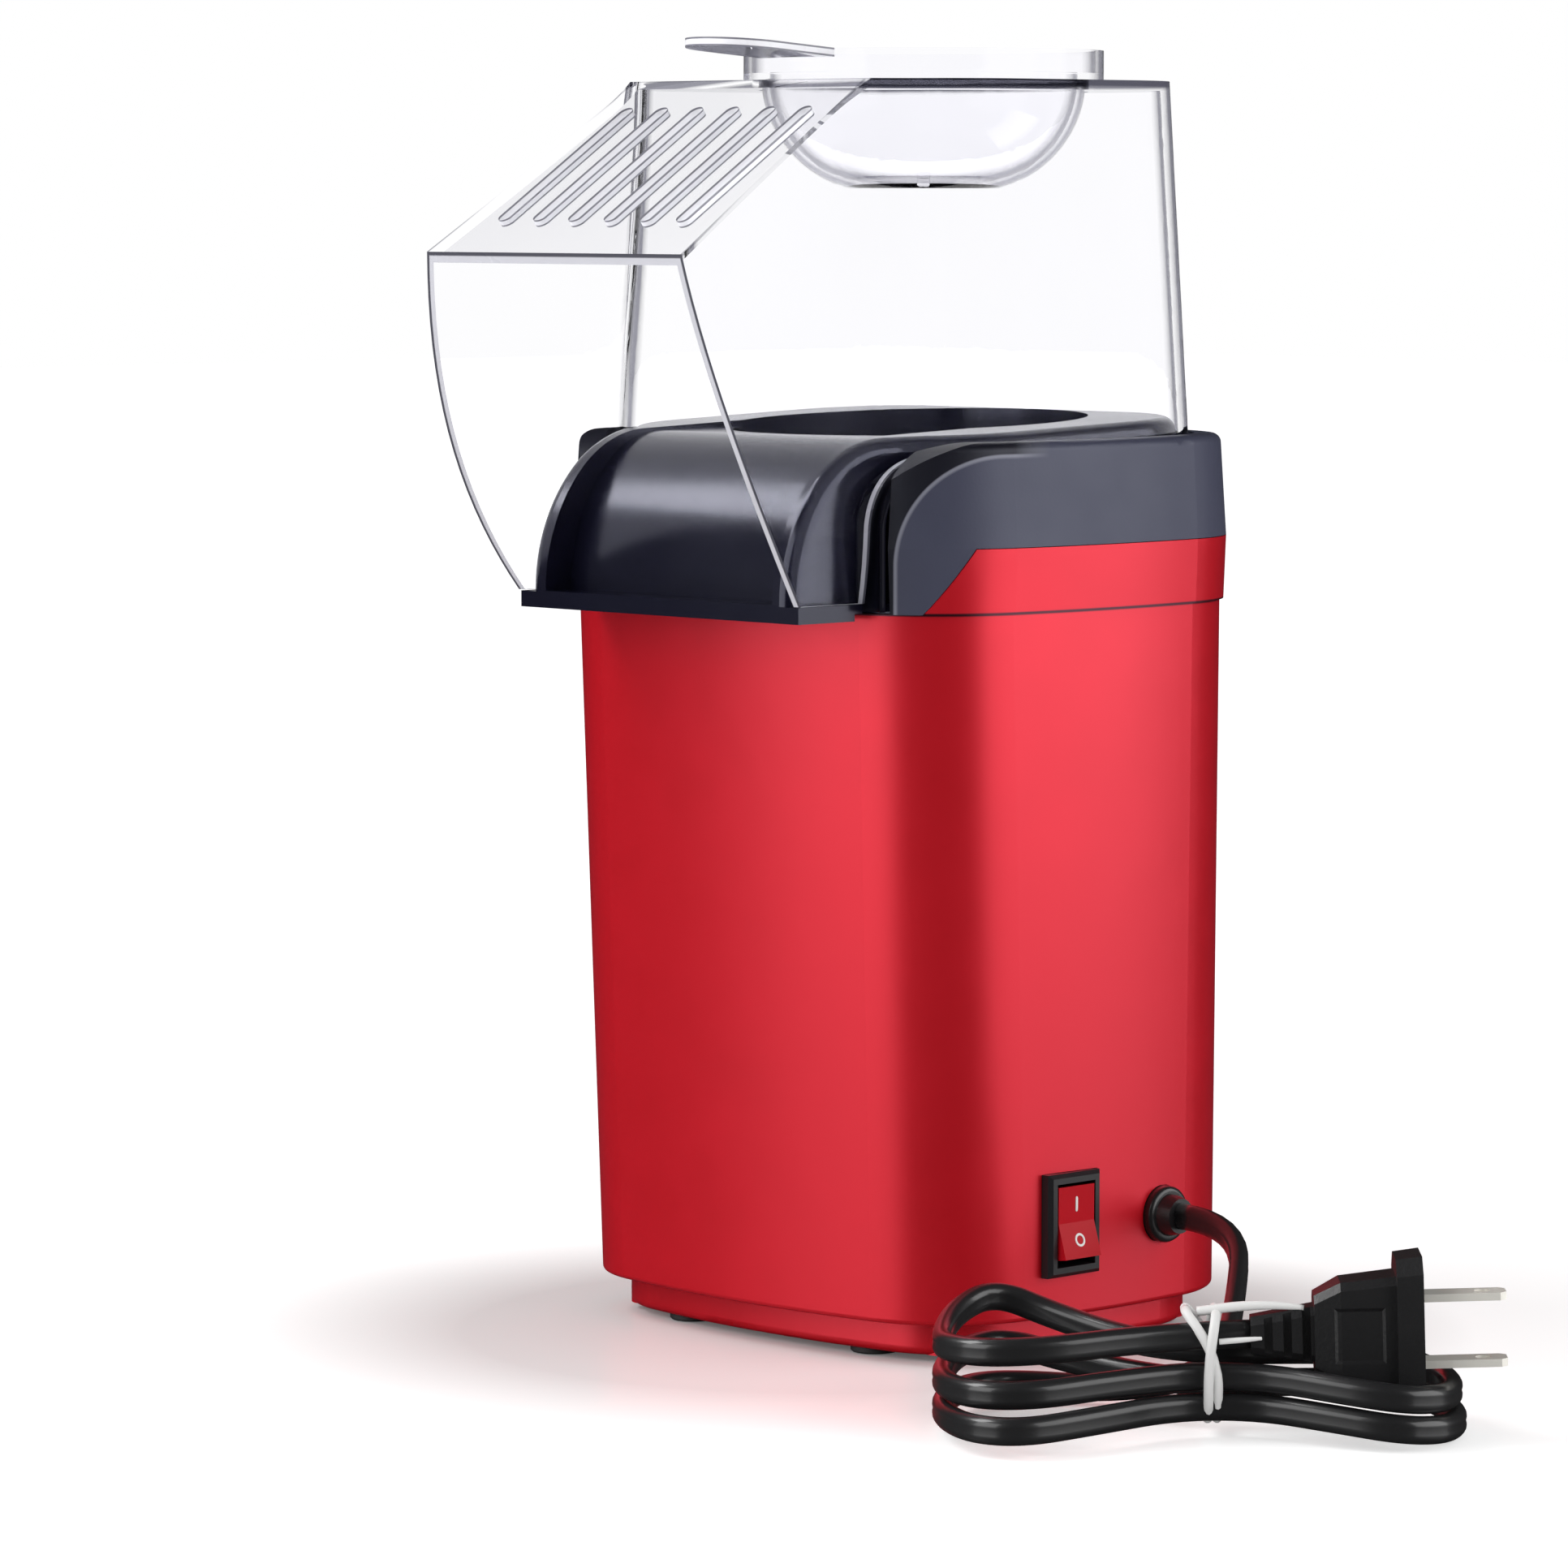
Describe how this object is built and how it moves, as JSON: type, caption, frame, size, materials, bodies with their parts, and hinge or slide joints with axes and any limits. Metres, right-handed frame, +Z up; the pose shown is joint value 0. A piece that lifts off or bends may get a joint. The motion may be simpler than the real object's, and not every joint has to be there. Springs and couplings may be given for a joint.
{
  "type": "hot-air popcorn maker",
  "caption": "Small hot-air popcorn maker: red tapered housing, black collar and chute, clear lift-off hood with a measuring cup as its lid, side rocker switch and tied mains lead.",
  "frame": {"origin": "On the floor, below the middle of the machine's box measured without the mains lead.", "axes": "+Z is up, -Y is the front where the chute and the visor point, +X is the side with the switch."},
  "size_m": [0.2417, 0.1573, 0.266],
  "materials": {
    "red_body": "satin red",
    "black_matte": "fine matte",
    "black_gloss": "gloss",
    "clear": "clear moulded plastic",
    "bright_metal": "bright drawn sheet",
    "seal_rubber": "soft silicone",
    "duct_resin": "heat-proof resin",
    "mica": "mica sheet",
    "heating_wire": "resistance wire",
    "steel": "zinc plated",
    "board": "paper laminate",
    "rocker_red": "translucent red",
    "brass": "plain",
    "cord_black": "soft vinyl",
    "tie_white": "coated wire",
    "nickel": "nickel plated",
    "foot_rubber": "matte"
  },
  "bodies": {
    "housing": {"body_shell": "red_body", "base_plate": "red_body", "base_screws": "steel", "collar": "black_matte", "collar_band": "red_body", "chute": "black_gloss", "chute_screws": "steel", "popping_chamber": "bright_metal", "chamber_seal": "seal_rubber", "air_duct": "duct_resin", "duct_screws": "steel", "heater_card_long": "mica", "heater_card_cross": "mica", "heater_coil": "heating_wire", "thermostat": "bright_metal", "thermal_fuse": "bright_metal", "motor_can": "steel", "motor_end_cap": "duct_resin", "motor_mount": "duct_resin", "motor_screws": "steel", "rectifier_board": "board", "rectifier_diodes": "black_matte", "switch_housing": "black_gloss", "rocker_pin": "steel", "switch_terminals": "brass", "strain_relief": "cord_black", "power_cord": "cord_black", "cord_hank": "cord_black", "twist_tie": "tie_white", "plug_body": "cord_black", "plug_blades": "nickel", "lead_live": "cord_black", "lead_switched": "cord_black", "lead_neutral": "cord_black", "foot_front_left": "foot_rubber", "foot_front_right": "foot_rubber", "foot_rear_left": "foot_rubber", "foot_rear_right": "foot_rubber"},
    "hood": {"hood": "clear"},
    "cup": {"measuring_cup": "clear"},
    "rocker": {"rocker": "rocker_red"},
    "rotor": {"motor_shaft": "steel", "fan": "duct_resin"}
  },
  "joints": [
    {"name": "hood_lift", "type": "slide", "parent": "housing", "child": "hood", "axis": [0, 0, 1], "range_m": [0, 0.12]},
    {"name": "cup_lift", "type": "slide", "parent": "hood", "child": "cup", "axis": [0, 0, 1], "range_m": [0, 0.06]},
    {"name": "switch_rock", "type": "hinge", "parent": "housing", "child": "rocker", "pos_m": [0.0586, 0.01095, 0.0274], "axis": [0, 1, 0], "range_deg": [0, 16]},
    {"name": "fan_spin", "type": "hinge", "parent": "housing", "child": "rotor", "pos_m": [0, 0.02445, 0.05], "axis": [0, 0, 1], "continuous": true}
  ]
}
